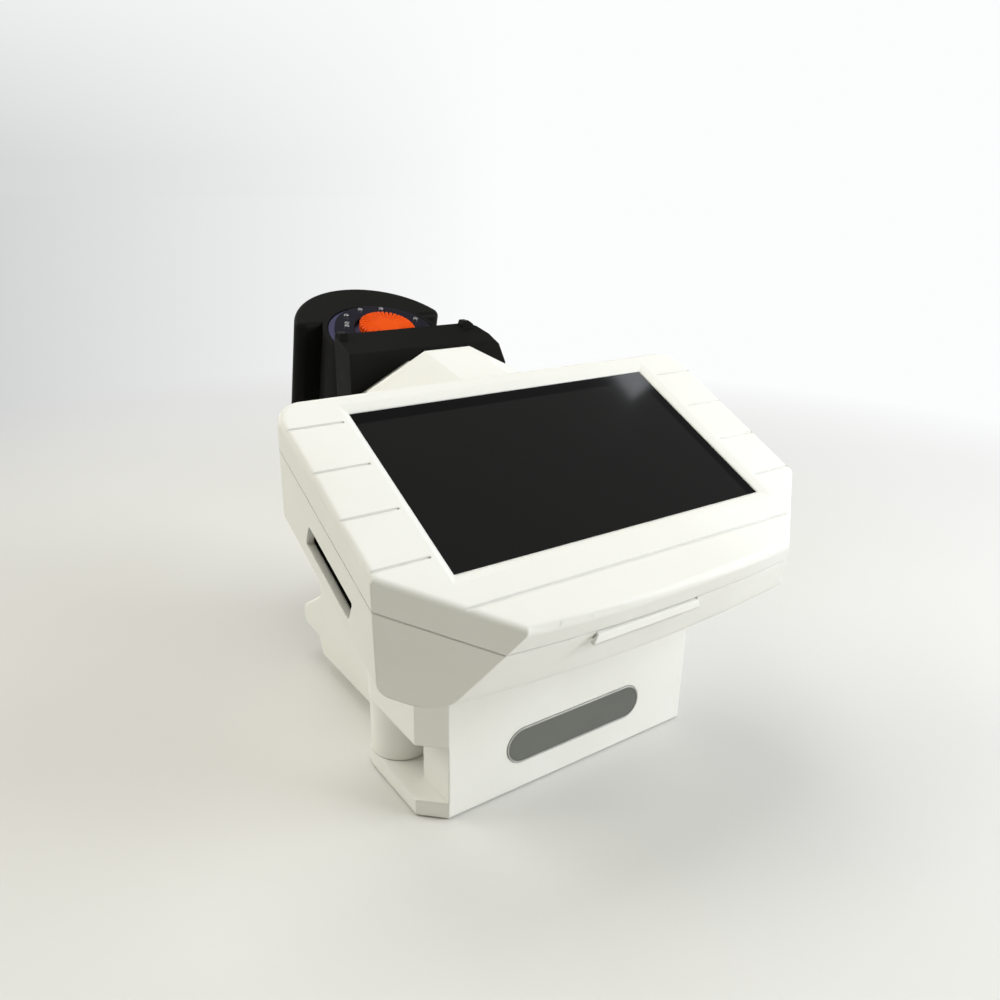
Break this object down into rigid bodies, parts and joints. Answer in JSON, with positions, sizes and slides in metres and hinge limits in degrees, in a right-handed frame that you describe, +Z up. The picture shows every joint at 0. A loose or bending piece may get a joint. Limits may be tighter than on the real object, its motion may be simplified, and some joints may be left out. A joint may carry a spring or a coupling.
{
  "type": "rapid test reader",
  "caption": "Desktop rapid test reader with a tilted touch display on a narrow base, a pull-out cassette tray, a hinged side door and a hooded orange dial behind.",
  "frame": {"origin": "on the table at the middle of the base's footprint, under the rubber sole", "axes": "+Z up, +Y from the display's lower edge towards the reading hood at the back, +X to the right of someone facing the display"},
  "size_m": [0.2138, 0.2944, 0.188],
  "materials": {
    "white_shell": "satin warm white moulded plastic",
    "black_shell": "satin black moulded plastic",
    "screen_glass": "smooth dark cover glass",
    "panel_dark": "dark display panel",
    "orange_dial": "glossy orange plastic with a ribbed rim",
    "navy_plate": "dark navy satin paint",
    "violet_deck": "muted violet satin paint",
    "badge_grey": "plain dark warm grey inlay",
    "badge_rim": "fine light metal rim",
    "steel": "brushed steel",
    "brass": "bright brass",
    "rubber": "matt black rubber",
    "board_green": "printed circuit board",
    "chip_black": "black chip packages",
    "battery_wrap": "blue wrapped battery pack",
    "bearing_grey": "grey bearing plastic"
  },
  "bodies": {
    "unit": {"head_upper_shell": "white_shell", "head_lower_shell": "white_shell", "display_glass": "screen_glass", "display_gasket": "rubber", "lcd_panel": "panel_dark", "panel_bracket": "steel", "panel_screws": "steel", "head_screws": "steel", "main_board": "board_green", "board_chips": "chip_black", "speaker": "chip_black", "port_bay": "black_shell", "port_sockets": "steel", "tray_guide": "bearing_grey", "strip_reader": "black_shell", "mount_plate": "steel", "mount_screws": "steel", "support_column": "steel", "base_shell": "white_shell", "base_floor": "white_shell", "base_screws": "steel", "rubber_sole": "rubber", "badge_rim": "badge_rim", "badge_plate": "badge_grey", "hinge_pin": "steel", "door_magnet": "steel", "battery_bay": "bearing_grey", "battery_pack": "battery_wrap", "battery_contacts": "brass", "power_inlet": "black_shell", "inlet_pins": "brass", "rocker_frame": "black_shell", "power_board": "board_green", "neck_cover": "white_shell", "block_cover": "black_shell", "detector_board": "board_green", "reading_head": "black_shell", "hood_shell": "black_shell", "hood_floor": "black_shell", "well_deck": "violet_deck", "well_plate": "navy_plate", "well_screws": "steel", "upper_bush": "brass", "bearing_bracket": "steel"},
    "door_leaf": {"side_door": "white_shell", "door_strike": "steel"},
    "tray_slide": {"cassette_tray": "white_shell"},
    "dial_stack": {"dial": "orange_dial", "dial_shaft": "steel", "carousel": "bearing_grey"},
    "switch_paddle": {"power_rocker": "black_shell"}
  },
  "joints": [
    {"name": "door_hinge", "type": "hinge", "parent": "unit", "child": "door_leaf", "pos_m": [-0.0627, -0.02405, 0.0218], "axis": [0, 0, 1], "range_deg": [0, 100]},
    {"name": "tray_travel", "type": "slide", "parent": "unit", "child": "tray_slide", "axis": [0, -0.8988, -0.4384], "range_m": [0, 0.058]},
    {"name": "dial_turn", "type": "hinge", "parent": "unit", "child": "dial_stack", "pos_m": [0, 0.10085, 0.1702], "axis": [0, -0.342, 0.9397], "continuous": true},
    {"name": "switch_rock", "type": "hinge", "parent": "unit", "child": "switch_paddle", "pos_m": [0.008, 0.06915, 0.024], "axis": [0, 0, 1], "range_deg": [-7, 7]}
  ]
}
